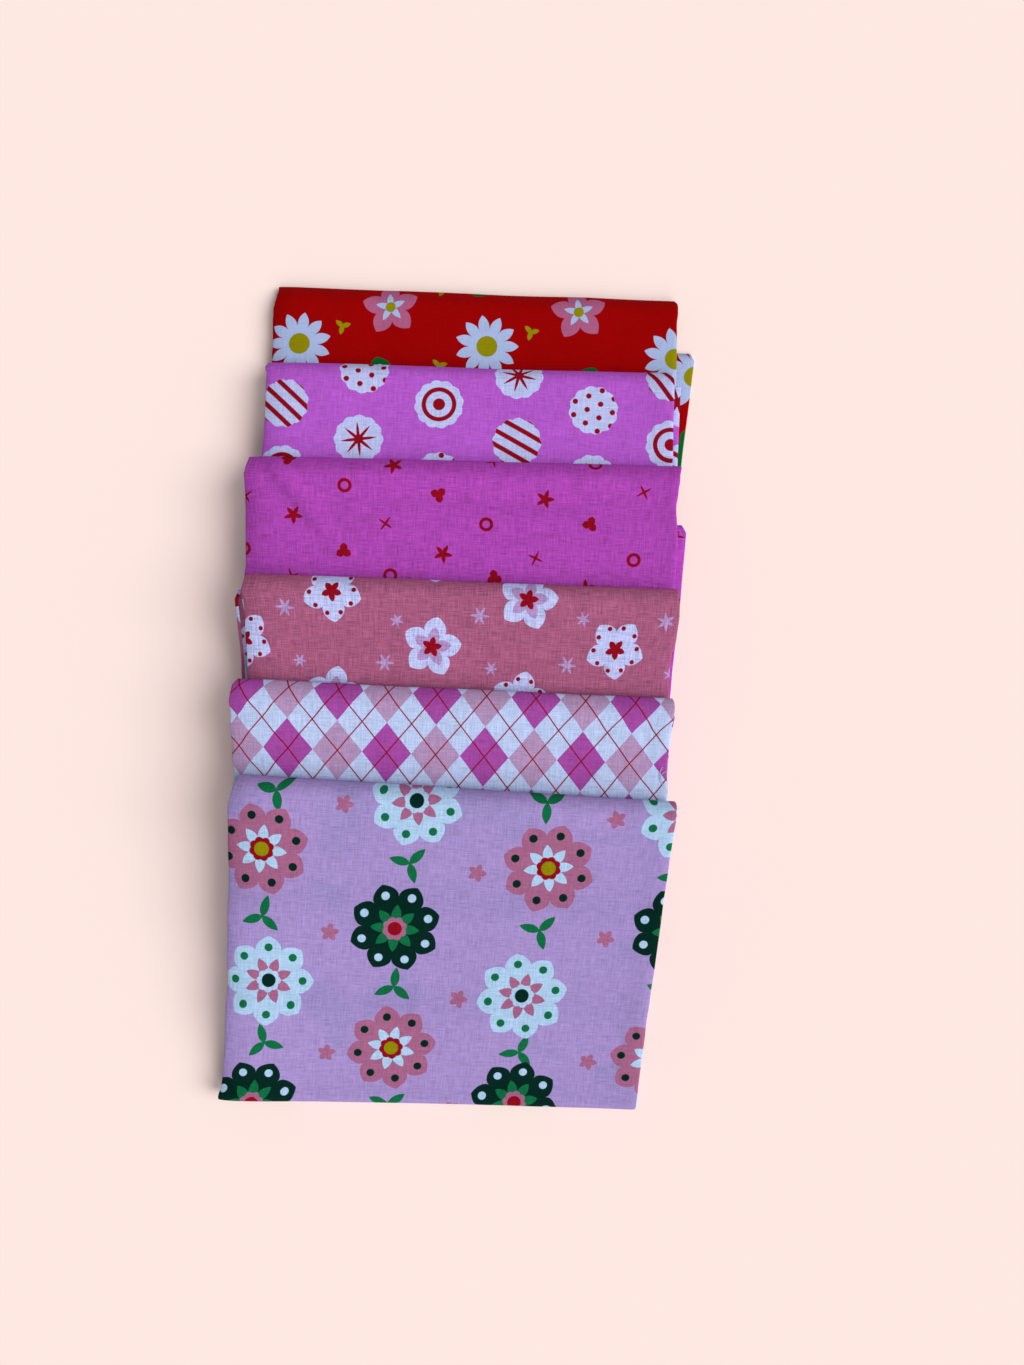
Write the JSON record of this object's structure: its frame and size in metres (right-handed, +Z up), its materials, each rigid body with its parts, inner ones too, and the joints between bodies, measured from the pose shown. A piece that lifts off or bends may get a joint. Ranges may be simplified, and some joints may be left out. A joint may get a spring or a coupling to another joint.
{
  "type": "stack of fat quarters",
  "caption": "Fat quarters of printed cotton, each folded into a flat bundle, staggered like roof tiles from the back to the front.",
  "frame": {"origin": "under the middle of the stack's bounding box, on the table", "axes": "+Z is up, -Y is the front, where the top bundle lies, and +X is to the right as seen from the front"},
  "size_m": [0.1732, 0.3052, 0.0284],
  "materials": {
    "red_cotton": "matt plain-woven cotton, deep red with a scattered print of daisies, clovers, pink flowers and buds",
    "orchid_cotton": "matt plain-woven cotton, orchid pink with white medallions",
    "magenta_cotton": "matt plain-woven cotton, magenta with small red stars, trefoils, rings and crosses",
    "dusty_rose_cotton": "matt plain-woven cotton, dusty rose with pale flowers and small stars",
    "harlequin_cotton": "matt plain-woven cotton, white, pink and magenta diamonds with thin red lines",
    "lilac_cotton": "matt plain-woven cotton, lilac with green, rose and white blossoms and dots"
  },
  "bodies": {
    "root": {"red_fat_quarter": "red_cotton", "orchid_fat_quarter": "orchid_cotton", "magenta_fat_quarter": "magenta_cotton", "dusty_rose_fat_quarter": "dusty_rose_cotton", "harlequin_fat_quarter": "harlequin_cotton", "lilac_fat_quarter": "lilac_cotton"}
  },
  "joints": []
}
